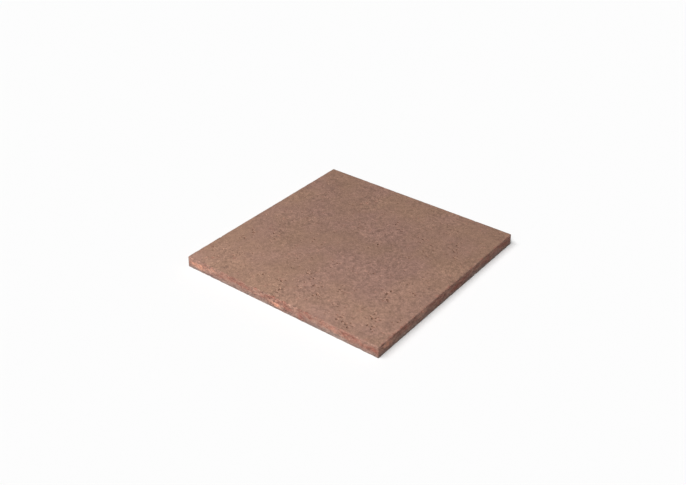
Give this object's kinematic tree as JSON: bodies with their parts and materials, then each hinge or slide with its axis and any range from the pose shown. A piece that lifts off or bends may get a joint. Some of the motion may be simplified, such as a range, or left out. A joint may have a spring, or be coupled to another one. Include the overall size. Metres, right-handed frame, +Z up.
{
  "type": "paving slab",
  "caption": "Square cast concrete paving slab with a flat walking face, thin slightly drafted sides and rolled arrises, lying flat.",
  "frame": {"origin": "centre of the underside, on the ground it lies on", "axes": "+Z up from the underside to the walking face; X and Y square to the four sides"},
  "size_m": [0.6, 0.6, 0.03],
  "materials": {
    "concrete": "matte"
  },
  "bodies": {
    "root": {"paving_slab": "concrete"}
  },
  "joints": []
}
